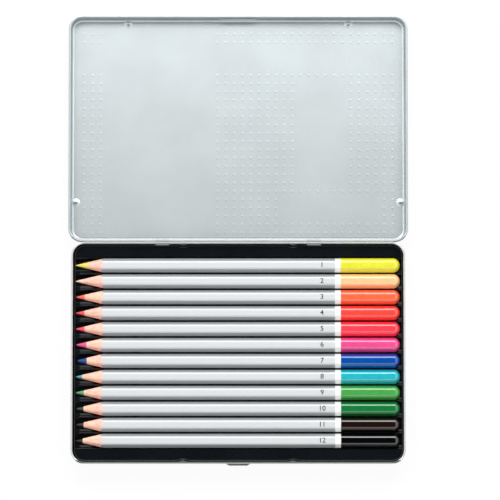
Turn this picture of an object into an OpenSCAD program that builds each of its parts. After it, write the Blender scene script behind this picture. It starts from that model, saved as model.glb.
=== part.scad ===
// A flat hinged tin with a formed tray and a row of coloured pencils, shown with its lid
// laid open. The pencils point along -X, the hinge is on the +Y side and the tin stands
// on z = 0, with the origin at the centre of the base's underside.

/* [Pencils] */
// Length of a pencil from its point to its dipped end
pencil_len = 175; // [120:1:190]
// Wooden casing across two flats
casing_flats = 6.8; // [6.5:0.05:7]
// Wooden casing over its rounded edges
casing_round = 7.4; // [7.2:0.05:7.6]
// Thickness of the silver lacquer on the wood
coat_t = 0.1; // [0.05:0.01:0.15]
// Thickness of the coloured dip on the wood
dip_t = 0.2; // [0.16:0.01:0.3]
// Length of the coloured dip, measured from the blunt end
dip_len = 32; // [15:0.5:50]
// Diameter of the coloured lead
lead_d = 3; // [2:0.1:4]
// How far the lead stops short of the blunt end
lead_stop = 3; // [2:0.1:8]
// Length of the sharpened cone, up to where it leaves the lacquer
cone_len = 15; // [12:0.5:22]
// Diameter of a new point
tip_d = 0.5; // [0.3:0.05:0.9]
// Distance between the middles of neighbouring pencils, which the tin's depth follows
pencil_pitch = 8.6; // [8.4:0.05:10]

/* [Tray] */
// Thickness of the formed plastic sheet
tray_t = 0.5; // [0.3:0.05:0.6]
// Space between the tray and the walls of the tin
tray_gap = 0.3; // [0.15:0.05:0.6]
// Width of the flat band in front of the pencils, and behind them
band_w = 6.5; // [6:0.1:15]
// Room between the outer pencils and the step up to the band
side_room = 0.75; // [0.5:0.05:2]
// Room in front of the points
point_room = 0.4; // [0.2:0.05:2]
// Room behind the dipped ends
end_room = 0.9; // [0.2:0.05:3]
// Room between a dipped pencil and the sloping sides of its groove
groove_room = 0.15; // [0.1:0.01:0.25]
// Flat width of the ridge between two grooves
ridge_w = 0.4; // [0.2:0.05:0.6]
// Height of the groove floor above the underside of the tin
groove_z = 5.1; // [3.5:0.1:5.5]
// Height of the band above the underside of the tin
band_z = 9.6; // [9.2:0.1:11]
// Distance of the locating nubs from the points
nub_x = 30.5; // [20:0.5:60]
// Length of a locating nub
nub_len = 3.2; // [1:0.1:8]
// Height of a nub over the ridge
nub_h = 0.9; // [0.4:0.05:1]
// Length of the pads between the points
pad_len = 2.7; // [1:0.1:5]
// Width of the pads between the points
pad_w = 2.6; // [1:0.1:4]
// Height of a pad over the ridge
pad_h = 0.4; // [0.1:0.05:0.8]

/* [Tin] */
// Thickness of the sheet metal
sheet = 0.3; // [0.2:0.01:0.35]
// Height of the base over its rolled rim
base_h = 13; // [12.9:0.05:13.1]
// Diameter of the rolled rim of the base
base_bead_d = 1.1; // [0.9:0.05:1.2]
// Inner corner radius of the base
base_corner_r = 6.4; // [4:0.1:10]
// Inner radius between the floor and the walls of the base
base_fillet = 1.2; // [0.6:0.1:2]
// Height of the closed tin
closed_h = 14; // [13.9:0.1:15]
// Diameter of the rolled rim of the lid, which is also the hinge pin
lid_bead_d = 1.3; // [1.1:0.05:1.5]
// Inner corner radius of the lid
lid_corner_r = 6; // [4:0.1:7]
// Inner radius between the panel and the skirt of the lid
lid_fillet = 1.6; // [0.8:0.1:1.7]
// Space between lid and base at the sides
side_gap = 0.5; // [0.45:0.05:1]
// Space between lid and base at the front
front_gap = 1; // [0.95:0.05:1.5]
// Space between lid and base at the hinge
rear_gap = 0.3; // [0.25:0.05:0.6]

/* [Hinge] */
// Distance between the two tongues
tongue_span = 82; // [40:1:120]
// Width of a tongue
tongue_w = 7.5; // [4:0.5:12]
// Running clearance between a tongue and the rolled rim inside it
tongue_play = 0.05; // [0.02:0.01:0.1]
// How far a tongue wraps past the top of the rolled rim, in degrees
tongue_wrap = 150; // [100:5:165]
// Space on each side of a tongue in its window
window_gap = 0.3; // [0.2:0.05:1]
// Height of a window, from the centre of the rolled rim
window_h = 2; // [1.6:0.1:3]

/* [Pressed details] */
// Distance between the two dents at the front of the lid, which keep its panel off the rim of the base
dent_span = 119.6; // [60:0.5:140]
// Distance of the dents at the sides of the lid from the hinge axis
dent_side_y = 21.5; // [12:0.5:60]
// Width of a dent
dent_w = 4.6; // [3:0.1:5]
// Depth of a dent
dent_depth = 0.6; // [0.2:0.01:0.62]
// Distance from the middle of a dent to the skirt
dent_in = 2.6; // [2.4:0.1:3]
// Distance between the dimples in the long walls of the base
stop_span = 59.3; // [30:0.5:120]
// Width of a dimple in the base
stop_w = 5; // [3:0.1:5.2]
// Depth of a dimple in the base
stop_depth = 0.8; // [0.4:0.05:1]
// Height of a dimple in the base
stop_z = 9.2; // [8.6:0.1:9.3]
// Space between a dimple in the base and its flute in the tray
flute_gap = 0.3; // [0.15:0.05:0.5]
// Width of the thumb press in the front skirt of the lid
thumb_w = 22; // [14:0.5:40]
// Depth of the thumb press
thumb_depth = 0.8; // [0.3:0.05:0.82]
// Lowest and highest point of the thumb press over the panel
thumb_low = 3.4; // [2.6:0.1:3.8]
thumb_high = 6.2; // [5.4:0.1:6.3]
// Width of the ledge in the front wall of the base
ledge_w = 15; // [8:0.5:30]
// How far the ledge stands out beyond the rolled rim
ledge_out = 0.6; // [0:0.05:1]
// Lowest and highest point of the ledge
ledge_low = 2.2; // [1.8:0.1:3]
ledge_high = 5.6; // [4.6:0.1:5.7]
// Run of the sloping ends of the press and the ledge
press_slope = 2.7; // [1.5:0.1:4]

/* [Hidden] */
$fn = 48;

// Name, colour of the dip and the lead, and how much of the point is worn off
PENCILS = [
    ["yellow", "#f4ee3c", 0],
    ["apricot", "#fcd29a", 0.1],
    ["orange", "#fb6f45", 0.4],
    ["vermilion", "#fb4b42", 0.4],
    ["crimson", "#f93f53", 0.5],
    ["magenta", "#ef4f95", 0.7],
    ["blue", "#0455ad", 1.3],
    ["turquoise", "#27bcc8", 0.5],
    ["leaf_green", "#4cab52", 0.5],
    ["green", "#147f3f", 0.9],
    ["brown", "#2d1813", 0.8],
    ["black", "#0c0f12", 0.4],
];
PENCIL_PARTS = ["casing", "coat", "dip", "lead"];
silver = "#c6cac9";
tray_black = "#1b1d20";
lacquer = "#b9bdbd";
wood = "#e3b795";

// Flat sides of the pencils meet at 60 degrees to the level
slope = 60;
quarter_turn = 90;
// What cutting shapes reach beyond the surface that they cut
over = 1;

// Pencils
last = len(PENCILS) - 1;
coat_flats = casing_flats + 2 * coat_t;
coat_round = casing_round + 2 * coat_t;
dip_flats = casing_flats + 2 * dip_t;
dip_round = casing_round + 2 * dip_t;
row_half = last * pencil_pitch / 2;
cone_slope = (coat_round - tip_d) / 2 / cone_len;
// The cone is drawn a little past the lacquer, so that it leaves every edge cleanly
cone_spare = 0.6;
cone_end = cone_len + cone_spare;
cone_end_r = tip_d / 2 + cone_end * cone_slope;
// The dome's sphere is a little larger than the rounded edges, and so is never tangent to them
dome_spare = 0.05;
dome_r = dip_round / 2 + dome_spare;
dome_z = pencil_len - dome_r;
dip_z = pencil_len - dip_len;
seat_play = 0.03;
pencil_z = groove_z + dip_flats / 2 + seat_play;

// Tray
cavity_len = pencil_len + point_room + end_room;
tray_w = cavity_len + 2 * tray_t;
step_y = row_half + dip_round / 2 + side_room;
tray_d = 2 * (step_y + band_w);
pencil_x = -cavity_len / 2 + point_room;
groove_low = dip_flats / 2 / tan(slope) + groove_room / sin(slope);
groove_high = (pencil_pitch - ridge_w) / 2;
ridge_z = groove_z + (groove_high - groove_low) * tan(slope);
under_shift = tray_t * tan(slope / 2);
apex_z = ridge_z - (tray_t / sin(slope) - ridge_w / 2) * tan(slope);
// The tray's foot stands on the bend between the floor and the walls of the base
foot_gap = 0.05;
bend_in = max(base_fillet - tray_gap, 0);
foot_z = sheet + base_fillet - sqrt(base_fillet * base_fillet - bend_in * bend_in) + foot_gap;

// Base
base_w = tray_w + 2 * tray_gap;
base_d = tray_d + 2 * tray_gap;
tray_corner_r = base_corner_r - tray_gap;
rim_w = base_w + 2 * base_bead_d;
rim_d = base_d + 2 * base_bead_d;
base_bead_z = base_h - base_bead_d / 2;

// Lid: the hinge axis is the centre of its rolled rim, at half the height of the closed tin
hinge_z = closed_h / 2;
hinge_y = rim_d / 2 + rear_gap + lid_bead_d / 2;
lid_w = rim_w + 2 * side_gap;
lid_d = rim_d + rear_gap + front_gap;
lid_y = hinge_y + lid_bead_d / 2 + lid_d / 2;
tongue_in_r = lid_bead_d / 2 + tongue_play;
tongue_out_r = tongue_in_r + sheet;
// The slot that a tongue is bent from is as long as the tongue
tongue_len = hinge_y - base_d / 2 + tongue_wrap * PI / 180 * (tongue_in_r + sheet / 2);

function pencil_y(i) = row_half - i * pencil_pitch;
function part_name(i, part) = str("pencil_", PENCILS[i][0], "_", part);
// Radius of the ball that presses a dimple of this width and depth
function ball_r(width, depth) = (depth * depth + width * width / 4) / (2 * depth);

// A profile swept round a rectangle with rounded corners; its x = 0 runs along the outline
module around(w, d, r) {
    for (side = [0 : 3]) {
        size = side % 2 == 0 ? [w, d] : [d, w];
        rotate([0, 0, side * quarter_turn]) {
            translate([size[0] / 2, 0, 0]) rotate([90, 0, 0])
                linear_extrude(size[1] - 2 * r, center = true) children();
            translate([size[0] / 2 - r, size[1] / 2 - r, 0])
                rotate_extrude(angle = quarter_turn) translate([r, 0]) children();
        }
    }
}

// A plate with rounded corners, standing on z = 0
module slab(w, d, r, h) {
    translate([-w / 2, r - d / 2, 0]) cube([w, d - 2 * r, h]);
    for (side = [-1, 1])
        translate([r - w / 2, side * (d / 2 - r / 2) - r / 2, 0]) cube([w - 2 * r, r, h]);
    for (side = [0 : 3]) {
        size = side % 2 == 0 ? [w, d] : [d, w];
        rotate([0, 0, side * quarter_turn]) translate([size[0] / 2 - r, size[1] / 2 - r, 0])
            rotate_extrude(angle = quarter_turn) square([r, h]);
    }
}

// Section of a ring, from one angle to another
module arc_band(r_in, r_out, from, to) {
    reach = 2 * r_out;
    span = to - from;
    half = from + span / 2;
    intersection() {
        difference() {
            circle(r_out);
            circle(r_in);
        }
        polygon([[0, 0], reach * [cos(from), sin(from)], reach * [cos(half), sin(half)],
                 reach * [cos(to), sin(to)]]);
    }
}

// Section of a pan's edge: the bend at the floor, the wall and the rim that is rolled outwards
module edge_section(bead_z, bead_d, fillet) {
    translate([-fillet, sheet + fillet]) arc_band(fillet, fillet + sheet, -90, 0);
    translate([0, sheet + fillet]) square([sheet, bead_z - sheet - fillet]);
    translate([bead_d / 2, bead_z]) {
        arc_band(bead_d / 2 - sheet, bead_d / 2, 0, 180);
        arc_band(bead_d / 2 - sheet, bead_d / 2, -90, 0);
    }
}

// A pan of sheet metal with rounded corners, open at the top; w, d and r are inner sizes
module pan(w, d, r, bead_z, bead_d, fillet) {
    slab(w - 2 * fillet, d - 2 * fillet, r - fillet, sheet);
    around(w, d, r) edge_section(bead_z, bead_d, fillet);
}

// A dimple pressed towards +X into a wall whose far face is x = 0: what it adds, and what it takes.
// The seam of each ball is turned to its back, away from the dimple.
module dimple_out(width, depth) {
    r = ball_r(width, depth);
    intersection() {
        translate([depth - r, 0, 0]) rotate([0, 0, 180]) sphere(r);
        translate([-sheet / 2, -width, -width]) cube([depth + over, 2 * width, 2 * width]);
    }
}
module dimple_in(width, depth) {
    r = ball_r(width, depth);
    intersection() {
        translate([depth - r, 0, 0]) rotate([0, 0, 180]) sphere(r - sheet);
        translate([-sheet - over / 4, -width, -width]) cube([depth + over, 2 * width, 2 * width]);
    }
}

// A flat-topped bulge pressed towards +Y out of a wall whose far face is y = 0
module bulge(width, depth, low, high) {
    translate([0, 0, low]) linear_extrude(high - low)
        polygon([[-width / 2, 0], [press_slope - width / 2, depth],
                 [width / 2 - press_slope, depth], [width / 2, 0],
                 [width / 2, -sheet / 2], [-width / 2, -sheet / 2]]);
}
module bulge_hollow(width, depth, low, high) {
    translate([0, -sheet, low + sheet]) linear_extrude(high - low - 2 * sheet)
        polygon([[-width / 2, 0], [press_slope - width / 2, depth],
                 [width / 2 - press_slope, depth], [width / 2, 0],
                 [width / 2, -over / 4], [-width / 2, -over / 4]]);
}

// Places of the dents: the panel of the lid is pressed up beside the front and side skirts
module at_dents() {
    for (side = [-1, 1]) {
        translate([side * dent_span / 2, lid_y + lid_d / 2 - dent_in, sheet])
            rotate([0, -90, 0]) children();
        translate([side * (lid_w / 2 - dent_in), hinge_y + dent_side_y, sheet])
            rotate([0, -90, 0]) children();
    }
}

// Places of the dimples that stand inwards from both long walls of the base
module at_stops() {
    for (side = [-1, 1], end = [-1, 1])
        translate([end * stop_span / 2, side * base_d / 2, stop_z])
            rotate([0, 0, -90 * side]) children();
}

// A tongue from the rear wall over the lid's rolled rim, seen along X
module tongue() {
    rotate([90, 0, 90]) linear_extrude(tongue_w, center = true) {
        translate([base_d / 2 + sheet / 2, hinge_z + tongue_in_r])
            square([hinge_y - base_d / 2 - sheet / 2, sheet]);
        translate([hinge_y, hinge_z]) {
            arc_band(tongue_in_r, tongue_out_r, 0, quarter_turn);
            arc_band(tongue_in_r, tongue_out_r, quarter_turn - tongue_wrap, 0);
        }
    }
}

module base_pan() {
    ledge_depth = base_bead_d - sheet + ledge_out;
    color(silver) {
        difference() {
            union() {
                pan(base_w, base_d, base_corner_r, base_bead_z, base_bead_d, base_fillet);
                at_stops() dimple_out(stop_w, stop_depth);
                translate([0, -base_d / 2 - sheet, 0]) rotate([0, 0, 180])
                    bulge(ledge_w, ledge_depth, ledge_low, ledge_high);
            }
            at_stops() dimple_in(stop_w, stop_depth);
            translate([0, -base_d / 2 - sheet, 0]) rotate([0, 0, 180])
                bulge_hollow(ledge_w, ledge_depth, ledge_low, ledge_high);
            for (side = [-1, 1])
                translate([side * tongue_span / 2 - tongue_w / 2, base_d / 2 - over / 2,
                           hinge_z + tongue_in_r - tongue_len])
                    cube([tongue_w, sheet + over, tongue_len]);
        }
        for (side = [-1, 1])
            translate([side * tongue_span / 2, 0, 0]) tongue();
    }
}

// The lid is drawn laid open: its panel lies on z = 0 behind the base
module lid() {
    window_w = tongue_w + 2 * window_gap;
    color(silver) difference() {
        union() {
            translate([0, lid_y, 0])
                pan(lid_w, lid_d, lid_corner_r, hinge_z, lid_bead_d, lid_fillet);
            at_dents() dimple_out(dent_w, dent_depth);
            translate([0, lid_y + lid_d / 2, 0]) rotate([0, 0, 180])
                bulge(thumb_w, thumb_depth, thumb_low, thumb_high);
        }
        at_dents() dimple_in(dent_w, dent_depth);
        translate([0, lid_y + lid_d / 2, 0]) rotate([0, 0, 180])
            bulge_hollow(thumb_w, thumb_depth, thumb_low, thumb_high);
        for (side = [-1, 1])
            translate([side * tongue_span / 2 - window_w / 2,
                       hinge_y + lid_bead_d / 2 - sheet - over / 10, hinge_z - window_h])
                cube([window_w, sheet + over, window_h]);
    }
}

// Sheet section of the tray across the pencils, seen along X: the upper side, then the lower
function groove_top(y) = [
    [y - groove_high, ridge_z], [y - groove_low, groove_z],
    [y + groove_low, groove_z], [y + groove_high, ridge_z]
];
function groove_under(y) = [
    [y + groove_low + under_shift, groove_z - tray_t],
    [y - groove_low - under_shift, groove_z - tray_t]
];
module tray_section() {
    edge = tray_d / 2;
    under_y = row_half + groove_high + under_shift;
    rows = [for (i = [0 : last]) -pencil_y(i)];
    top = concat(
        [[-edge, band_z], [-step_y, band_z], [-step_y, ridge_z]],
        [for (y = rows) each groove_top(y)],
        [[step_y, ridge_z], [step_y, band_z], [edge, band_z]]
    );
    under = concat(
        [[edge, band_z - tray_t], [step_y + tray_t, band_z - tray_t]],
        [[step_y + tray_t, ridge_z - tray_t], [under_y, ridge_z - tray_t]],
        [for (i = [last : -1 : 0]) each concat(
            groove_under(rows[i]),
            i > 0 ? [[rows[i] - pencil_pitch / 2, apex_z]] : []
        )],
        [[-under_y, ridge_z - tray_t], [-step_y - tray_t, ridge_z - tray_t]],
        [[-step_y - tray_t, band_z - tray_t], [-edge, band_z - tray_t]]
    );
    polygon(concat(top, under));
}

// Flutes that let the tray pass the dimples in the walls of the base
module at_flutes(extra) {
    depth = stop_depth - tray_gap + flute_gap;
    r = ball_r(stop_w + 2 * flute_gap, depth);
    for (side = [-1, 1], end = [-1, 1])
        translate([end * stop_span / 2, side * (tray_d / 2 - depth + r), foot_z - extra])
            cylinder(r = r + (extra > 0 ? 0 : tray_t), h = band_z - foot_z + 2 * extra);
}

module tray() {
    inner_x = cavity_len / 2;
    color(tray_black) difference() {
        intersection() {
            union() {
                rotate([90, 0, 90]) linear_extrude(tray_w, center = true) tray_section();
                translate([0, 0, foot_z]) around(tray_w, tray_d, tray_corner_r)
                    translate([-tray_t, 0]) square([tray_t, band_z - foot_z]);
                at_flutes(0);
                for (i = [1 : last]) {
                    y = pencil_y(i) + pencil_pitch / 2;
                    translate([pencil_x + nub_x, y - ridge_w / 2, ridge_z - tray_t / 2])
                        cube([nub_len, ridge_w, nub_h + tray_t / 2]);
                    translate([-inner_x - tray_t / 2, y - pad_w / 2, ridge_z - 2 * tray_t])
                        cube([pad_len + tray_t / 2, pad_w, pad_h + 2 * tray_t]);
                }
            }
            slab(tray_w, tray_d, tray_corner_r, band_z);
        }
        at_flutes(over);
    }
}

// Pencil shapes stand on z = 0 with the point down, and are then laid in their grooves
module laid(i) {
    translate([pencil_x, pencil_y(i), pencil_z]) rotate([90, 0, 90]) children();
}
module hexagon(flats, round) {
    intersection() {
        circle(d = flats / cos(30), $fn = 6);
        circle(d = round);
    }
}
module stick(flats, round, from, to) {
    translate([0, 0, from]) linear_extrude(to - from) hexagon(flats, round);
}
// The sharpened stretch of a stick
module sharpened(flats, round) {
    intersection() {
        stick(flats, round, 0, cone_end);
        cylinder(r1 = tip_d / 2, r2 = cone_end_r, h = cone_end);
    }
}
// A stick whose end is a dome
module domed(flats, round, from, r) {
    stick(flats, round, from, dome_z);
    intersection() {
        stick(flats, round, dome_z, pencil_len + over);
        translate([0, 0, dome_z]) sphere(r);
    }
}

module pencil_casing(i) {
    color(wood) laid(i) difference() {
        union() {
            sharpened(casing_flats, casing_round);
            domed(casing_flats, casing_round, cone_end, dome_r - dip_t);
        }
        translate([0, 0, -over]) cylinder(d = lead_d, h = pencil_len - lead_stop + over);
    }
}

module pencil_coat(i) {
    color(lacquer) laid(i) difference() {
        union() {
            sharpened(coat_flats, coat_round);
            stick(coat_flats, coat_round, cone_end, dip_z);
        }
        stick(casing_flats, casing_round, -over, dip_z + over);
    }
}

module pencil_dip(i) {
    color(PENCILS[i][1]) laid(i) difference() {
        domed(dip_flats, dip_round, dip_z, dome_r);
        domed(casing_flats, casing_round, dip_z - over, dome_r - dip_t);
    }
}

module pencil_lead(i) {
    wear = PENCILS[i][2];
    tip_r = tip_d / 2 + wear * cone_slope;
    full_z = (lead_d - tip_d) / 2 / cone_slope;
    color(PENCILS[i][1]) laid(i) rotate_extrude()
        polygon([[0, wear], [tip_r, wear], [lead_d / 2, full_z],
                 [lead_d / 2, pencil_len - lead_stop], [0, pencil_len - lead_stop]]);
}

base_pan();
lid();
tray();
for (i = [0 : last]) {
    pencil_casing(i);
    pencil_coat(i);
    pencil_dip(i);
    pencil_lead(i);
}
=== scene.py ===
"""The looks of the coloured pencil tin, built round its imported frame. Lengths are in metres."""

import math

import bmesh
import bpy
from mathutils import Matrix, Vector


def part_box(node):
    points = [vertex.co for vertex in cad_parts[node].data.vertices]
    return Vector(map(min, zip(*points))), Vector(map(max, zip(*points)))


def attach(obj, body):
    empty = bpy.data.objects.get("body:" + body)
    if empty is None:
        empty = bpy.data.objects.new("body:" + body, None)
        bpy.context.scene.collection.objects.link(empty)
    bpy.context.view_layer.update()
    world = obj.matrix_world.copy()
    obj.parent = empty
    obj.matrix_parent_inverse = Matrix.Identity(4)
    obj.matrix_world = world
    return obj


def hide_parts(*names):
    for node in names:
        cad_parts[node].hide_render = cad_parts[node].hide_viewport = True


MM = 0.001

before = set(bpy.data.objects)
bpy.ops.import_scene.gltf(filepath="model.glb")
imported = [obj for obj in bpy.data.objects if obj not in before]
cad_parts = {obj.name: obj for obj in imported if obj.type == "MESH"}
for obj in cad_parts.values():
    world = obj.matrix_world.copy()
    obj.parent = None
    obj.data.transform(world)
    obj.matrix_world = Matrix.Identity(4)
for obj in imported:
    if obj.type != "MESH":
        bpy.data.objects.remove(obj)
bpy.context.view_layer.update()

# Pencils from the hinge to the front: colours of the dipped end and of the lead, as written on a
# screen; how much of the lead is bared beyond its usual length; how far the wood stands over it
PENCILS = {
    "yellow": ("#ece93a", "#ffe268", 1.5 * MM, 0),
    "apricot": ("#fbcb95", "#fbd3bb", -1.0 * MM, 0),
    "orange": ("#fa6e48", "#fb6a58", -0.2 * MM, 0),
    "vermilion": ("#fb4c42", "#f4525a", -0.3 * MM, 0),
    "crimson": ("#fb4455", "#f4526a", -0.2 * MM, 0),
    "magenta": ("#f05394", "#e8578f", 0.9 * MM, 0),
    "blue": ("#0450a8", "#24488c", 1.0 * MM, 0),
    "turquoise": ("#27b8c4", "#4aa6a8", -1.5 * MM, 0),
    "leaf_green": ("#4da84f", "#5ba074", -0.4 * MM, 0),
    "green": ("#137b3c", "#3c4c36", -0.7 * MM, 0.3 * MM),
    "brown": ("#21100c", "#3e302a", -0.6 * MM, 0.3 * MM),
    "black": ("#020406", "#3c2f2a", -1.1 * MM, 0.3 * MM),
}

# Vertices nearer to one another than this are joined
JOINED = 0.0005 * MM

# Pencils: their six faces, and the steps round each edge and along each flat
FACES = 6
HALF_FACE = math.pi / FACES
EDGE_STEPS = 8
FLAT_STEPS = 2
# White band: its length, its thickness and the share of it that stands at its start
BAND_LEN = 3.1 * MM
BAND_T = 0.04 * MM
BAND_LIP = 0.3
# Dipped end: its wall, the thinner lip that it starts with, and its dome, which is as wide as the
# pencil over its edges and a little more
DIP_WALL = 0.18 * MM
LIP_LEN = 0.35 * MM
LIP_DROP = 0.1 * MM
DOME_STEPS = 12
DOME_SPARE = 0.05 * MM
# Cone: how much further it reaches along the barrel than the CAD's, how askew it is cut, and the
# angle by which that turns from one pencil to the next
CONE_SPARE = 0.9 * MM
CONE_SWAY = 0.35 * MM
CONE_TURN = 2.4
# Round nose of the wood, and the lead's blunt tip as shares of its radius
NOSE_LEN = 1.0 * MM
NOSE_STEPS = 5
BLUNT_LEN = 0.2
BLUNT_R = 0.6
# Printed number: its size, what its strokes gain, half its thickness, its distance from the band
NUMBER_SIZE = 3.8 * MM
NUMBER_WEIGHT = 0.05 * MM
NUMBER_T = 0.01 * MM
NUMBER_BACK = 7 * MM

# Sheet metal of the tin: its thickness, the longest stretch of it without a cross-cut, so that each
# bend is shaded where it is, and how far from level its flat panel's vertices may lie
SHEET = 0.3 * MM
SHEET_STEP = 4 * MM
SHEET_LEVEL = 0.001 * MM

# Embossed dots of the lid: a regular grid with a few smooth panels left out of it
DOT_PITCH = 4.525 * MM
DOT_COLUMNS = 38
DOT_ROWS = 25
DOT_R = 0.95 * MM
DOT_H = 0.043 * MM
DOT_SIDES = 12
DOT_RINGS = 4
DOT_REAR_MARGIN = 2.8 * MM
# First and last column, then first and last row, counted from the hinge, of each smooth panel
SMOOTH_PANELS = [
    (3, 15, 0, 24),
    (0, 37, 20, 22),
    (26, 31, 6, 18),
    (24, 35, 2, 4),
]

# Dents of the lid: the flat panel's border belongs to one where it is off the panel's sides and
# away from its corners; an edge near such a place, low and steep enough, stays crisp
DENT_OFF = 0.01 * MM
PANEL_CORNER = 6.5 * MM
DENT_NEAR = 3 * MM
DENT_TOP = 2 * MM
DENT_EDGE = math.radians(15)

# Tray: radius and steps of its outer bend and of its ridges, and how far its walls, which are all
# that lies within TRAY_WALL of its sides, stand back: left and right, then front and rear
TRAY_BEND = 0.4 * MM
TRAY_BEND_STEPS = 4
TRAY_EDGE = 0.15 * MM
TRAY_EDGE_STEPS = 2
TRAY_BACK = [(0.5 * MM, 0.1 * MM), (0.35 * MM, 0.35 * MM)]
TRAY_WALL = 2 * MM
# Faces that meet at less than TRAY_FLAT are one; the tray's outer edge is within TRAY_T of its top
# and turns by more than TRAY_EDGE_TURN, a ridge by more than TRAY_RIDGE_TURN (both in radians), and
# a ridge is longer than TRAY_LONG
TRAY_FLAT = math.radians(0.5)
TRAY_T = 0.1 * MM
TRAY_EDGE_TURN = 1
TRAY_RIDGE_TURN = 0.5
TRAY_LONG = 10 * MM

# Metal: heights at rest between which its colour goes from the flat panel's to the painted shade
# of the drawn walls, from these to the lid's rim's painted shade, and to the base's rim's painted
# light; then those for its roughness
WALL_FOOT = (0.4 * MM, 1.4 * MM)
LID_RIM = (6.2 * MM, 6.6 * MM)
BASE_RIM = (11 * MM, 12 * MM)
POLISH_FOOT = (0.4 * MM, 1.2 * MM)
SATIN_FOOT = (6.0 * MM, 6.3 * MM)
# Strips along y with painted shade: at the hinge, and on the base's rim in front of the tray;
# from, to, and the width of their soft edge
HINGE_STRIP = (59.4 * MM, 63 * MM, 0.4 * MM)
FRONT_STRIP = (-59.5 * MM, -58 * MM, 0.15 * MM)
# How light each of these is beside the metal's own colour, and how rough. The flat panel's two
# shades are the metal's own tone, varying at random; the others are painted shade, but for the
# base's rim's, which is painted light. The rims' roughness adds to the walls'
FLAT_SHADES = (0.96, 1.03)
WALL_PAINTED_SHADES = (0.66, 0.72)
LID_RIM_PAINTED_SHADE = 0.86
BASE_RIM_PAINTED_LIGHT = 1.12
HINGE_PAINTED_SHADE = 0.52
FRONT_PAINTED_SHADE = 0.2
FLAT_ROUGHNESS = 0.42
WALL_ROUGHNESS = 0.18
RIM_ROUGHNESS = 0.22

# Values of a noise between which a material goes from one look to the other: most of the noise's
# range, or a wider range with softer changes
NOISE = (0.35, 0.65)
SOFT_NOISE = (0.3, 0.7)
# How far a face is turned away, from 0 to 1, as it goes from its full colour to its painted shade
PAINTED_SHADE_TURN = (0.15, 0.42)

# View: the camera's tilt towards the front, its distance and reach, the width that it shows, the
# point that it looks at, and its sensor in millimetres
VIEW_TILT = math.radians(5.5)
VIEW_DISTANCE = 2.4
VIEW_FAR = 20
VIEW_WIDTH = 269.8 * MM
VIEW_CENTRE = Vector((6.4, 55.7, 8.7)) * MM
SENSOR = 36
# Height of a direction, from 0 at the horizon to 1 straight above, and how bright the room is
# there; how far that pattern is tilted; how much brighter the room is towards the hinge's side
ROOM = [(0, 0.55), (0.5, 0.95), (0.78, 1.3), (0.87, 1.25), (0.955, 0.012), (1, 0.012)]
ROOM_TILT = math.radians(5)
ROOM_SLOPE = 0.3
# Lamps: direction from the tin, distance, size in metres, power in watts
LAMPS = {
    "key": ((0, 0.91, 0.41), 5, (5.67, 3.17), 95),
    "upper": ((0, 0.49, 0.74), 0.9, (0.9, 0.35), 2.8),
}
# Floor: how far it reaches each way, and how much of it shows plain white to the camera
FLOOR_REACH = 3
FLOOR_WHITE = 0.92


def linear(written):
    """A colour as Blender keeps it, from the way it is written."""
    values = [int(written[i:i + 2], 16) / 255 for i in (1, 3, 5)]
    return [v / 12.92 if v <= 0.04045 else ((v + 0.055) / 1.055) ** 2.4 for v in values] + [1]


# Materials


class Surface:
    """A material with short calls for its nodes."""

    def __init__(self, name, **sockets):
        self.material = bpy.data.materials.new(name)
        self.material.use_nodes = True
        self.tree = self.material.node_tree
        self.shader = self.tree.nodes["Principled BSDF"]
        for socket, value in sockets.items():
            self.shader.inputs[socket.replace("_", " ")].default_value = value
        self.place = self.tree.nodes.new("ShaderNodeTexCoord").outputs["Object"]

    def node(self, kind, **values):
        """A new node; values are its sockets, or settings where they start with a small letter."""
        made = self.tree.nodes.new("ShaderNode" + kind)
        for name, value in values.items():
            if name[0].islower():
                setattr(made, name, value)
            else:
                made.inputs[name.replace("_", " ")].default_value = value
        return made

    def link(self, source, target):
        """Joins one node's output to another's input."""
        self.tree.links.new(source, target)

    def noise(self, scale, stretch=(1, 1, 1), detail=3, roughness=0.5):
        """Noise with scale features to the metre, drawn out along the axes with a small stretch."""
        mapping = self.node("Mapping", Scale=stretch)
        noise = self.node("TexNoise", Scale=scale, Detail=detail, Roughness=roughness)
        self.link(self.place, mapping.inputs["Vector"])
        self.link(mapping.outputs["Vector"], noise.inputs["Vector"])
        return noise.outputs["Fac"]

    def ramp(self, factor, low, high, start, end):
        """A number or colour that goes from start to end as factor goes from low to high."""
        if isinstance(start, (int, float)):
            made = self.node("MapRange", From_Min=low, From_Max=high, To_Min=start, To_Max=end)
            self.link(factor, made.inputs["Value"])
            return made.outputs["Result"]
        made = self.node("Mix", data_type="RGBA")
        self.link(self.ramp(factor, low, high, 0, 1), made.inputs[0])
        sockets = [s for s in made.inputs if s.type == "RGBA"]
        for socket, colour in zip(sockets, (start, end)):
            if isinstance(colour, list):
                socket.default_value = colour
            else:
                self.link(colour, socket)
        return [s for s in made.outputs if s.type == "RGBA"][0]

    def maths(self, operation, one, other):
        """Two numbers worked into one."""
        made = self.node("Math", operation=operation)
        self.link(one, made.inputs[0])
        self.link(other, made.inputs[1])
        return made.outputs["Value"]

    def band(self, source, low, high, soft):
        """1 where a number lies from low to high, 0 outside, with a soft step at each end."""
        rise = self.ramp(source, low - soft, low, 0, 1)
        return self.maths("MULTIPLY", rise, self.ramp(source, high, high + soft, 1, 0))

    def drive(self, socket, source):
        """Joins a node's output to one of the shader's inputs."""
        self.link(source, self.shader.inputs[socket.replace("_", " ")])

    def bump(self, *layers):
        """Bumps, one on another, each as (height source, height in metres, strength)."""
        normal = None
        for source, distance, strength in layers:
            made = self.node("Bump", Distance=distance, Strength=strength)
            self.link(source, made.inputs["Height"])
            if normal:
                self.link(normal, made.inputs["Normal"])
            normal = made.outputs["Normal"]
        self.drive("Normal", normal)


def shade_of(colour, factor):
    """The same colour, darker or lighter by a factor."""
    return [min(c * factor, 1) for c in colour[:3]] + [1]


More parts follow.
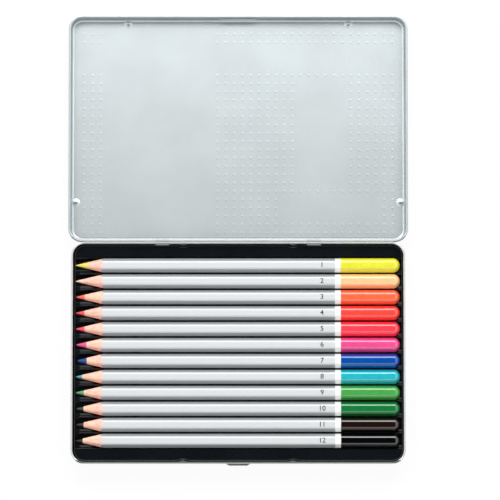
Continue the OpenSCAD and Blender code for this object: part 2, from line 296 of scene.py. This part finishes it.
def tinplate(name, colour):
    """Satin tinplate with a fine grain, faint rolling lines and slow random changes of tone. Its
    drawn walls, lid's rim and the strips at the hinge and base's front rim have painted shade, and
    its base's rim painted light; its walls are smoother than its flat panel."""
    metal = Surface(name, Metallic=1.0)
    tone = linear(colour)
    slow = metal.noise(35)
    lines = metal.noise(300, stretch=(0.04, 1, 1), detail=4)
    grain = metal.noise(3500)
    place = metal.node("SeparateXYZ")
    metal.link(metal.place, place.inputs["Vector"])
    y, z = place.outputs["Y"], place.outputs["Z"]
    flat = metal.ramp(slow, *NOISE, *[shade_of(tone, s) for s in FLAT_SHADES])
    # Painted shade on the drawn walls and the lid's rim, and painted light on the base's rim
    drawn = metal.ramp(slow, *NOISE, *[shade_of(tone, s) for s in WALL_PAINTED_SHADES])
    walls = metal.ramp(z, *WALL_FOOT, flat, drawn)
    with_lid_rim_shade = metal.ramp(z, *LID_RIM, walls, shade_of(tone, LID_RIM_PAINTED_SHADE))
    bright = metal.ramp(z, *BASE_RIM, with_lid_rim_shade, shade_of(tone, BASE_RIM_PAINTED_LIGHT))
    # Painted shade over the strip by the hinge, and over the base's rim's inner side in front of
    # the tray
    hinge_shade_mask = metal.band(y, *HINGE_STRIP)
    front_shade_mask = metal.maths("MULTIPLY", metal.band(y, *FRONT_STRIP), metal.ramp(z, *BASE_RIM, 0, 1))
    with_hinge_shade = metal.ramp(hinge_shade_mask, 0, 1, bright, shade_of(tone, HINGE_PAINTED_SHADE))
    metal.drive("Base_Color", metal.ramp(front_shade_mask, 0, 1, with_hinge_shade, shade_of(tone, FRONT_PAINTED_SHADE)))
    polish = metal.ramp(z, *POLISH_FOOT, FLAT_ROUGHNESS, WALL_ROUGHNESS)
    satin = metal.ramp(z, *SATIN_FOOT, 0, RIM_ROUGHNESS)
    metal.drive("Roughness", metal.maths("ADD", polish, satin))
    metal.bump((lines, 0.001 * MM, 0.2), (grain, 0.002 * MM, 0.4))
    return metal.material


def tray_plastic():
    """Thermoformed black sheet: glossy, with a fine skin and slightly paler patches."""
    plastic = Surface("tray_plastic", Specular_IOR_Level=0.0, Coat_Weight=1.0, Coat_IOR=1.9,
                      Coat_Roughness=0.12)
    tone = linear("#0e1216")
    skin = plastic.noise(2500, detail=4)
    patches = plastic.noise(60)
    plastic.drive("Base_Color", plastic.ramp(patches, 0.4, 0.7, tone, shade_of(tone, 1.35)))
    plastic.drive("Roughness", plastic.ramp(patches, *SOFT_NOISE, 0.3, 0.4))
    plastic.bump((skin, 0.01 * MM, 0.35))
    return plastic.material


def pencil_wood():
    """Freshly cut wood: streaks and pores along the pencil, in tones from rosy to sandy."""
    wood = Surface("pencil_wood", Roughness=0.62, IOR=1.45)
    streaks = wood.noise(1600, stretch=(0.1, 1, 1), detail=5, roughness=0.6)
    pores = wood.noise(5000, stretch=(0.08, 1, 1), detail=2)
    apart = wood.noise(130, detail=1)
    rosy = wood.ramp(streaks, 0.36, 0.64, linear("#f8aa97"), linear("#ffd0c5"))
    sandy = wood.ramp(streaks, 0.36, 0.64, linear("#fbba98"), linear("#ffd9c3"))
    wood.drive("Base_Color", wood.ramp(apart, 0.4, 0.6, rosy, sandy))
    wood.drive("Roughness", wood.ramp(pores, *SOFT_NOISE, 0.55, 0.75))
    wood.bump((streaks, 0.03 * MM, 0.3), (pores, 0.02 * MM, 0.3))
    return wood.material


def pencil_lacquer():
    """Silver lacquer: fine flakes under a thin clear coat, painted shade where faces turn away."""
    lacquer = Surface("pencil_lacquer", Metallic=0.15, Coat_Weight=0.05, Coat_Roughness=0.12)
    tone = linear("#d6d9db")
    flakes = lacquer.noise(9000, detail=2)
    swell = lacquer.noise(500)
    level = lacquer.ramp(flakes, *NOISE, shade_of(tone, 0.93), shade_of(tone, 1.06))
    # Painted shade: a darker colour on the faces that turn away from the eye
    turned = lacquer.ramp(flakes, *NOISE, shade_of(tone, 0.49), shade_of(tone, 0.58))
    facing = lacquer.node("LayerWeight", Blend=0.5).outputs["Facing"]
    lacquer.drive("Base_Color", lacquer.ramp(facing, *PAINTED_SHADE_TURN, level, turned))
    lacquer.drive("Roughness", lacquer.ramp(flakes, *SOFT_NOISE, 0.42, 0.52))
    lacquer.bump((swell, 0.006 * MM, 0.4))
    return lacquer.material


def gloss_paint(name, colour):
    """Dipped lacquer: deep gloss, slow swell, and a deeper painted shade where faces turn away."""
    paint = Surface(name, Specular_IOR_Level=0.0, Coat_Weight=1.0, Coat_IOR=2.0,
                    Coat_Roughness=0.06)
    tone = linear(colour)
    swell = paint.noise(350)
    fine = paint.noise(2500)
    level = paint.ramp(swell, *NOISE, shade_of(tone, 0.95), shade_of(tone, 1.05))
    # Painted shade: a deeper colour on the faces that turn away from the eye
    deep = [c ** 1.25 for c in tone]
    facing = paint.node("LayerWeight", Blend=0.5).outputs["Facing"]
    paint.drive("Base_Color", paint.ramp(facing, *PAINTED_SHADE_TURN, level, deep))
    paint.drive("Roughness", paint.ramp(fine, *SOFT_NOISE, 0.25, 0.35))
    paint.bump((swell, 0.012 * MM, 0.4))
    return paint.material


def printing_ink():
    """Dark ink, a little uneven."""
    ink = Surface("printing_ink")
    tone = linear("#34373a")
    spread = ink.noise(1500)
    ink.drive("Base_Color", ink.ramp(spread, *NOISE, shade_of(tone, 0.8), shade_of(tone, 1.4)))
    ink.drive("Roughness", ink.ramp(spread, *SOFT_NOISE, 0.35, 0.5))
    return ink.material


def pencil_pigment(name, colour):
    """A coloured lead: waxy, with a faint grain from the cutter."""
    pigment = Surface(name, IOR=1.45)
    tone = linear(colour)
    grain = pigment.noise(2200, stretch=(0.3, 1, 1), detail=4)
    waxy = pigment.ramp(grain, *NOISE, shade_of(tone, 0.85), shade_of(tone, 1.12))
    pigment.drive("Base_Color", waxy)
    pigment.drive("Roughness", pigment.ramp(grain, *SOFT_NOISE, 0.4, 0.6))
    pigment.bump((grain, 0.02 * MM, 0.35))
    return pigment.material


# Meshes


def piece_from(bm, name, material, body, nodes=(), *, sharp):
    """A finished piece from a bmesh, with its material, body, slot and the nodes it stands for. It
    is smooth but for the bmesh's own creases and edges of more than sharp degrees."""
    bmesh.ops.recalc_face_normals(bm, faces=bm.faces)
    bm.edges.index_update()
    creases = [e.index for e in bm.edges if not e.smooth]
    mesh = bpy.data.meshes.new(name)
    bm.to_mesh(mesh)
    bm.free()
    if "custom_normal" in mesh.attributes:
        mesh.attributes.remove(mesh.attributes["custom_normal"])
    mesh.materials.append(material)
    mesh.shade_smooth()
    mesh.set_sharp_from_angle(angle=math.radians(sharp))
    for crease in creases:
        mesh.edges[crease].use_edge_sharp = True
    piece = bpy.data.objects.new(name, mesh)
    bpy.context.scene.collection.objects.link(piece)
    normals = piece.modifiers.new("normals", "WEIGHTED_NORMAL")
    normals.keep_sharp = True
    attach(piece, body)
    if nodes:
        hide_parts(*nodes)


def add_rings(bm, rings, closed=False, apex=None):
    """Faces through rings of as many points each; closed joins the last ring to the first, and an
    apex closes the last ring. Gives the rings' vertices back."""
    made = [[bm.verts.new(p) for p in ring] for ring in rings]
    pairs = list(zip(made, made[1:] + made[:1]))
    for low, high in pairs if closed else pairs[:-1]:
        for i in range(len(low)):
            j = (i + 1) % len(low)
            bm.faces.new((low[i], low[j], high[j], high[i]))
    if apex is not None:
        close_ring(bm, made[-1], apex)
    return made


def close_ring(bm, ring, apex):
    """Faces from a ring of vertices to a point."""
    tip = bm.verts.new(apex)
    for i in range(len(ring)):
        bm.faces.new((ring[i], ring[(i + 1) % len(ring)], tip))


def join_rings(bm, one, other):
    """Faces between two rings of vertices."""
    for i in range(len(one)):
        j = (i + 1) % len(one)
        bm.faces.new((one[i], one[j], other[j], other[i]))


class Hexagon:
    """A pencil's cross-section: a hexagon with rounded edges, lying on one of its flats."""

    def __init__(self, flats, across):
        self.apothem = flats / 2
        corner = 1 / math.cos(HALF_FACE)
        self.fillet = (self.apothem * corner - across / 2) / (corner - 1)
        self.centre = (self.apothem - self.fillet) * corner
        flat_half = (self.apothem - self.fillet) * math.tan(HALF_FACE)
        self.flat_end = math.atan2(flat_half, self.apothem)

    def radius(self, angle):
        """Distance from the axis to the surface; angle 0 is the middle of the top flat."""
        local = abs((angle + HALF_FACE) % (2 * HALF_FACE) - HALF_FACE)
        if local <= self.flat_end:
            return self.apothem / math.cos(local)
        off = HALF_FACE - local
        aside = self.centre * math.sin(off)
        return self.centre * math.cos(off) + math.sqrt(self.fillet ** 2 - aside ** 2)

    def angles(self):
        """Angles round the section: a few on each flat and more round each edge."""
        edge = 2 * (HALF_FACE - self.flat_end)
        found = []
        for face in range(FACES):
            middle = 2 * HALF_FACE * face
            for step in range(FLAT_STEPS):
                found.append(middle + self.flat_end * (2 * step / FLAT_STEPS - 1))
            for step in range(EDGE_STEPS):
                found.append(middle + self.flat_end + edge * step / EDGE_STEPS)
        return found


def pencil(number, name, lacquer, white, wood, ink):
    """One pencil: lacquered barrel, painted band, number, dipped end, sharpened wood and lead."""
    dip_colour, lead_colour, bared, shoulder = PENCILS[name]
    node = f"pencil_{name}"
    parts = {part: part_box(f"{node}_{part}") for part in ("casing", "coat", "dip", "lead")}
    sizes = {part: high - low for part, (low, high) in parts.items()}
    axis = (parts["coat"][0] + parts["coat"][1]) / 2
    barrel = Hexagon(sizes["coat"].z, sizes["coat"].y)
    dipped = Hexagon(sizes["dip"].z, sizes["dip"].y)
    core = Hexagon(sizes["casing"].z, sizes["casing"].y)
    angles = barrel.angles()
    band_start = parts["dip"][0].x - BAND_LEN
    dip_start, dip_end = parts["dip"][0].x, parts["dip"][1].x

    def ring(section, x, grow=0.0, within=1.0):
        """Points round the axis; x is a place, or a function of the radius and angle there."""
        found = []
        for angle in angles:
            r = min(section.radius(angle) + grow, within) if section else within
            place = x(r, angle) if callable(x) else x
            found.append((place, axis.y + r * math.sin(angle), axis.z + r * math.cos(angle)))
        return found

    # The cone: it runs from the blunt tip through the wood and the lacquer
    tip, lead_end = parts["lead"][0].x, parts["lead"][1].x
    lead_r = sizes["lead"].z / 2
    tip_r = lead_r - (parts["casing"][0].x - tip) * (barrel.apothem - lead_r) / (
        parts["coat"][0].x - parts["casing"][0].x)
    slope = (barrel.apothem - tip_r) / (parts["coat"][0].x + CONE_SPARE - tip)
    turn = CONE_TURN * number

    def cone_r(x):
        """Radius of the cone at a place."""
        return tip_r + (x - tip) * slope

    def cone_x(r, angle):
        """Where the cone has a radius, a little further on one side of the pencil."""
        return tip + (r - tip_r) / slope + CONE_SWAY * math.cos(angle - turn)

    bm = bmesh.new()
    add_rings(bm, [ring(barrel, cone_x), ring(barrel, band_start), ring(barrel, dip_start),
                   ring(core, dip_start), ring(core, cone_x)], closed=True)
    piece_from(bm, f"{node}_barrel", lacquer, node, [f"{node}_coat"], sharp=40)

    bm = bmesh.new()
    add_rings(bm, [ring(barrel, band_start, BAND_LIP * BAND_T),
                   ring(barrel, band_start + BAND_T, BAND_T),
                   ring(barrel, dip_start, BAND_T), ring(barrel, dip_start, -BAND_T),
                   ring(barrel, band_start, -BAND_T)], closed=True)
    piece_from(bm, f"{node}_band", white, node, sharp=40)

    printed_number(node, number, (band_start - NUMBER_BACK, axis.y, axis.z + barrel.apothem), ink)

    dome_r = sizes["dip"].y / 2 + DOME_SPARE
    dome_start = dip_end - dome_r
    rises = [math.pi / 2 * step / DOME_STEPS for step in range(1, DOME_STEPS)]

    def dome(section, r):
        """Rings of a rounded end, from its foot on."""
        found = [ring(section, dome_start)]
        for rise in rises:
            found.append(ring(section, dome_start + r * math.sin(rise), within=r * math.cos(rise)))
        return found

    rings = [ring(dipped, dip_start, -LIP_DROP),
             ring(dipped, dip_start + LIP_LEN / 3, -LIP_DROP / 4),
             ring(dipped, dip_start + LIP_LEN)] + dome(dipped, dome_r)
    bm = bmesh.new()
    outer = add_rings(bm, rings, apex=(dip_end, axis.y, axis.z))
    inner_r = dome_r - DIP_WALL
    inner = add_rings(bm, [ring(core, dip_start)] + dome(core, inner_r),
                      apex=(dip_end - DIP_WALL, axis.y, axis.z))
    join_rings(bm, outer[0], inner[0])
    piece_from(bm, f"{node}_dipped_end", gloss_paint(f"dip_{name}", dip_colour), node,
               [f"{node}_dip"], sharp=50)

    # The wood ends in a thin edge, or in a round nose that stands over a thinner lead
    wood_start = parts["casing"][0].x + bared
    nose_r = cone_r(wood_start) - shoulder
    bore_r = min(lead_r, nose_r)
    rings = [ring(None, wood_start, within=nose_r)]
    if shoulder:
        nose_end = wood_start + NOSE_LEN
        for step in range(1, NOSE_STEPS + 1):
            rise = math.pi / 2 * step / NOSE_STEPS
            rings.append(ring(None, nose_end - NOSE_LEN * math.cos(rise),
                              within=nose_r + (cone_r(nose_end) - nose_r) * math.sin(rise)))
    rings += [ring(core, cone_x)] + dome(core, inner_r)
    bm = bmesh.new()
    outer = add_rings(bm, rings, apex=(dip_end - DIP_WALL, axis.y, axis.z))
    bore = [ring(None, wood_start, within=bore_r), ring(None, lead_end, within=bore_r)]
    inner = add_rings(bm, bore, apex=(lead_end, axis.y, axis.z))
    join_rings(bm, outer[0], inner[0])
    piece_from(bm, f"{node}_wood", wood, node, [f"{node}_casing"], sharp=35)

    # The lead fills the bore, and its point goes on with the cone down to the blunt tip
    bm = bmesh.new()
    blunt = [ring(None, tip + BLUNT_LEN * tip_r, within=BLUNT_R * tip_r),
             ring(None, tip + tip_r, within=cone_r(tip + tip_r))]
    outer = add_rings(bm, blunt + [ring(None, wood_start, within=nose_r)] + bore,
                      apex=(lead_end, axis.y, axis.z))
    close_ring(bm, outer[0], (tip, axis.y, axis.z))
    bmesh.ops.remove_doubles(bm, verts=bm.verts, dist=JOINED)
    piece_from(bm, f"{node}_point", pencil_pigment(f"lead_{name}", lead_colour), node,
               [f"{node}_lead"], sharp=50)


def printed_number(node, number, place, ink):
    """A plain number, standing on the barrel's top flat at a place."""
    curve = bpy.data.curves.new("number", "FONT")
    curve.body = str(number)
    curve.size = NUMBER_SIZE
    curve.extrude = NUMBER_T
    curve.offset = NUMBER_WEIGHT
    curve.align_x, curve.align_y = "CENTER", "CENTER"
    holder = bpy.data.objects.new("number", curve)
    bm = bmesh.new()
    bm.from_mesh(bpy.data.meshes.new_from_object(holder))
    bpy.data.objects.remove(holder)
    bmesh.ops.translate(bm, vec=place, verts=bm.verts)
    piece_from(bm, f"{node}_number", ink, node, sharp=30)


def copied(node):
    """The CAD node's mesh, joined where its faces meet and without creases."""
    bm = bmesh.new()
    bm.from_mesh(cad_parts[node].data)
    bmesh.ops.remove_doubles(bm, verts=bm.verts, dist=JOINED)
    for e in bm.edges:
        e.smooth = True
    return bm


def cross_cut(bm):
    """Cuts all faces across at regular places."""
    for axis in (0, 1):
        places = [v.co[axis] for v in bm.verts]
        low, high = min(places), max(places)
        count = math.ceil((high - low) / SHEET_STEP)
        across = Vector([float(i == axis) for i in range(3)])
        for step in range(1, count):
            everything = bm.verts[:] + bm.edges[:] + bm.faces[:]
            bmesh.ops.bisect_plane(bm, geom=everything, dist=JOINED, plane_no=across,
                                   plane_co=across * (low + (high - low) * step / count))


def in_smooth_panel(column, row):
    """Whether a cell of the grid of dots is left flat."""
    return any(a <= column <= b and c <= row <= d for a, b, c, d in SMOOTH_PANELS)


def dotted_sheet(bm, z, x_middle, y_start):
    """A level grid of square cells, most of them with a dot."""
    def corner(column, row):
        return (x_middle + (column - DOT_COLUMNS / 2) * DOT_PITCH, y_start + row * DOT_PITCH, z)

    grid = [[bm.verts.new(corner(c, r)) for r in range(DOT_ROWS + 1)]
            for c in range(DOT_COLUMNS + 1)]
    turn = 2 * math.pi / DOT_SIDES
    for column in range(DOT_COLUMNS):
        for row in range(DOT_ROWS):
            corners = [grid[column + 1][row + 1], grid[column][row + 1], grid[column][row],
                       grid[column + 1][row]]
            if in_smooth_panel(column, row):
                bm.faces.new(corners)
                continue
            middle = (corners[0].co + corners[2].co) / 2
            rings = []
            for step in range(DOT_RINGS):
                share = 1 - step / DOT_RINGS
                rise = DOT_H * (1 + math.cos(math.pi * share)) / 2
                rings.append([middle + Vector((share * DOT_R * math.cos(turn * i),
                                               share * DOT_R * math.sin(turn * i), rise))
                              for i in range(DOT_SIDES)])
            made = add_rings(bm, rings, apex=middle + Vector((0, 0, DOT_H)))[0]
            quarter = DOT_SIDES // 4
            for q, square_corner in enumerate(corners):
                last = (q + 1) * quarter
                for i in range(q * quarter, last):
                    bm.faces.new((made[i], square_corner, made[(i + 1) % DOT_SIDES]))
                bm.faces.new((made[last % DOT_SIDES], square_corner, corners[(q + 1) % 4]))


def dotted_lid(material):
    """The CAD's lid with its flat panel made again, inside and outside, with the embossed dots, and
    with crisp borders round its dents."""
    low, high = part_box("lid")
    bm = copied("lid")
    cross_cut(bm)
    dents = []
    for z in (low.z, low.z + SHEET):
        flat = [f for f in bm.faces if all(abs(v.co.z - z) < SHEET_LEVEL for v in f.verts)]
        edges = dict.fromkeys(e for f in flat for e in f.edges)    # in the same order each run
        rim = [e for e in edges if sum(f in flat for f in e.link_faces) == 1]
        outline = [v.co.copy() for e in rim for v in e.verts]
        sides = [(min(p[i] for p in outline), max(p[i] for p in outline)) for i in (0, 1)]
        for p in outline:
            off = sorted(abs(p[i] - side) for i in (0, 1) for side in sides[i])
            if off[0] > DENT_OFF and off[1] > PANEL_CORNER:
                dents.append(p)
        y_start = sides[1][0] + DOT_REAR_MARGIN - DOT_PITCH / 2
        bmesh.ops.delete(bm, geom=flat, context="FACES")
        before = set(bm.edges)
        dotted_sheet(bm, z, (low.x + high.x) / 2, y_start)
        border = [e for e in bm.edges if e not in before and e.is_boundary]
        bmesh.ops.triangle_fill(bm, edges=[e for e in rim if e.is_valid] + border, use_beauty=True)
    bmesh.ops.recalc_face_normals(bm, faces=bm.faces)
    for e in bm.edges:
        middle = (e.verts[0].co + e.verts[1].co) / 2
        if (middle.z < low.z + DENT_TOP and e.calc_face_angle(0) > DENT_EDGE
                and any((middle - p).length < DENT_NEAR for p in dents)):
            e.smooth = False
    piece_from(bm, "lid_shell", material, "lid", ["lid"], sharp=32)


def base_shell(material):
    """The CAD's base pan, smooth round its bends."""
    bm = copied("base_pan")
    cross_cut(bm)
    piece_from(bm, "base_shell", material, "base", ["base_pan"], sharp=32)


def rounded_tray(material):
    """The CAD's tray with its walls standing back from the base's, and with its outer edge and its
    ridges rounded, as a formed sheet has them."""
    low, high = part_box("tray")
    bm = copied("tray")
    for v in bm.verts:
        for axis in (0, 1):
            if v.co[axis] < low[axis] + TRAY_WALL:
                v.co[axis] += TRAY_BACK[axis][0]
            elif v.co[axis] > high[axis] - TRAY_WALL:
                v.co[axis] -= TRAY_BACK[axis][1]
    bmesh.ops.dissolve_limit(bm, angle_limit=TRAY_FLAT, verts=bm.verts, edges=bm.edges)
    on_top = {e for e in bm.edges if e.calc_face_angle_signed(0) > TRAY_EDGE_TURN
              and all(v.co.z > high.z - TRAY_T for v in e.verts)}
    # The outer edge is the one of them that goes round from the leftmost vertex
    around, wait = set(), [min((v for e in on_top for v in e.verts), key=lambda v: v.co.x)]
    while wait:
        v = wait.pop()
        for e in on_top.intersection(v.link_edges) - around:
            around.add(e)
            wait.append(e.other_vert(v))
    bmesh.ops.bevel(bm, geom=[e for e in bm.edges if e in around], offset=TRAY_BEND,
                    segments=TRAY_BEND_STEPS, profile=0.5, affect="EDGES", clamp_overlap=True)
    ridges = [e for e in bm.edges
              if e.calc_face_angle_signed(0) > TRAY_RIDGE_TURN and e.calc_length() > TRAY_LONG
              and all(v.co.z < high.z - 2 * TRAY_BEND for v in e.verts)]
    bmesh.ops.bevel(bm, geom=ridges, offset=TRAY_EDGE, segments=TRAY_EDGE_STEPS, profile=0.5,
                    affect="EDGES", clamp_overlap=True)
    # The bevel makes its faces in any order, so they are put in one that is the same each run
    bm.verts.index_update()
    ranked = sorted(bm.faces, key=lambda f: sorted(v.index for v in f.verts))
    rank = {f: i for i, f in enumerate(ranked)}
    bm.faces.sort(key=rank.get)
    piece_from(bm, "tray_sheet", material, "tray", ["tray"], sharp=35)


# View, light and ground


def add_camera():
    """The photograph's view: from high above, a little from the front."""
    data = bpy.data.cameras.new("camera")
    data.sensor_width = SENSOR
    data.lens = SENSOR * VIEW_DISTANCE / VIEW_WIDTH
    data.clip_end = VIEW_FAR
    camera = bpy.data.objects.new("camera", data)
    back = Vector((0, -math.sin(VIEW_TILT), math.cos(VIEW_TILT)))
    camera.location = VIEW_CENTRE + back * VIEW_DISTANCE
    camera.rotation_mode = "QUATERNION"
    camera.rotation_quaternion = (-back).to_track_quat("-Z", "Y")
    bpy.context.scene.collection.objects.link(camera)
    bpy.context.scene.camera = camera


def add_softbox(name, direction, distance, size, power):
    """An area lamp that faces the tin."""
    data = bpy.data.lights.new(name, "AREA")
    data.shape = "RECTANGLE"
    data.size, data.size_y = size
    data.energy = power
    lamp = bpy.data.objects.new(name, data)
    towards = Vector(direction).normalized()
    lamp.location = VIEW_CENTRE + towards * distance
    lamp.rotation_mode = "QUATERNION"
    lamp.rotation_quaternion = (-towards).to_track_quat("-Z", "Y")
    bpy.context.scene.collection.objects.link(lamp)


def add_world():
    """A pale room: brightest high up and towards the hinge's side, dark where the camera hangs."""
    world = bpy.data.worlds.new("world")
    bpy.context.scene.world = world
    world.use_nodes = True
    tree = world.node_tree
    place = tree.nodes.new("ShaderNodeTexCoord")
    tilt = tree.nodes.new("ShaderNodeMapping")
    tilt.inputs["Rotation"].default_value = (ROOM_TILT, 0, 0)
    axes = tree.nodes.new("ShaderNodeSeparateXYZ")
    ramp = tree.nodes.new("ShaderNodeValToRGB")
    share = tree.nodes.new("ShaderNodeMath")
    share.operation = "MULTIPLY_ADD"
    share.inputs[1].default_value = ROOM_SLOPE
    share.inputs[2].default_value = 1
    links = tree.links
    links.new(place.outputs["Generated"], tilt.inputs["Vector"])
    links.new(tilt.outputs["Vector"], axes.inputs["Vector"])
    links.new(axes.outputs["Z"], ramp.inputs["Fac"])
    links.new(axes.outputs["Y"], share.inputs[0])
    links.new(ramp.outputs["Color"], tree.nodes["Background"].inputs["Color"])
    links.new(share.outputs["Value"], tree.nodes["Background"].inputs["Strength"])
    ramp.color_ramp.interpolation = "EASE"
    steps = ramp.color_ramp.elements
    while len(steps) < len(ROOM):
        steps.new(0.5)
    for step, (height, level) in zip(steps, ROOM):
        step.position = height
        step.color = (level, level, level, 1)


def add_floor():
    """A plain white ground that keeps a faint shadow where the camera, metal or gloss shows it."""
    material = bpy.data.materials.new("floor")
    material.use_nodes = True
    tree = material.node_tree
    nodes, links = tree.nodes, tree.links
    shader = nodes["Principled BSDF"]
    shader.inputs["Base Color"].default_value = linear("#f7f7f7")
    shader.inputs["Roughness"].default_value = 0.9
    shader.inputs["Specular IOR Level"].default_value = 0.1
    glow = nodes.new("ShaderNodeEmission")
    path = nodes.new("ShaderNodeLightPath")
    seen = path.outputs["Is Camera Ray"]
    for kind in ("Is Glossy Ray", "Is Transmission Ray"):
        either = nodes.new("ShaderNodeMath")
        either.operation = "MAXIMUM"
        links.new(seen, either.inputs[0])
        links.new(path.outputs[kind], either.inputs[1])
        seen = either.outputs["Value"]
    share = nodes.new("ShaderNodeMath")
    share.operation = "MULTIPLY"
    share.inputs[1].default_value = FLOOR_WHITE
    mix = nodes.new("ShaderNodeMixShader")
    links.new(seen, share.inputs[0])
    links.new(share.outputs["Value"], mix.inputs["Fac"])
    links.new(shader.outputs["BSDF"], mix.inputs[1])
    links.new(glow.outputs["Emission"], mix.inputs[2])
    links.new(mix.outputs["Shader"], nodes["Material Output"].inputs["Surface"])
    mesh = bpy.data.meshes.new("floor")
    signs = [(-1, -1), (1, -1), (1, 1), (-1, 1)]
    mesh.from_pydata([(x * FLOOR_REACH, y * FLOOR_REACH, 0) for x, y in signs], [], [(0, 1, 2, 3)])
    mesh.materials.append(material)
    floor = bpy.data.objects.new("floor", mesh)
    bpy.context.scene.collection.objects.link(floor)


bpy.context.scene.view_settings.view_transform = "Standard"
add_camera()
add_world()
for name, (direction, distance, size, power) in LAMPS.items():
    add_softbox(name, direction, distance, size, power)
add_floor()

base_shell(tinplate("base_metal", "#d6d8d8"))
dotted_lid(tinplate("lid_metal", "#d8e0e2"))
rounded_tray(tray_plastic())
lacquer, white, wood = pencil_lacquer(), gloss_paint("band_white", "#f8f8f6"), pencil_wood()
ink = printing_ink()
for number, name in enumerate(PENCILS, 1):
    pencil(number, name, lacquer, white, wood, ink)
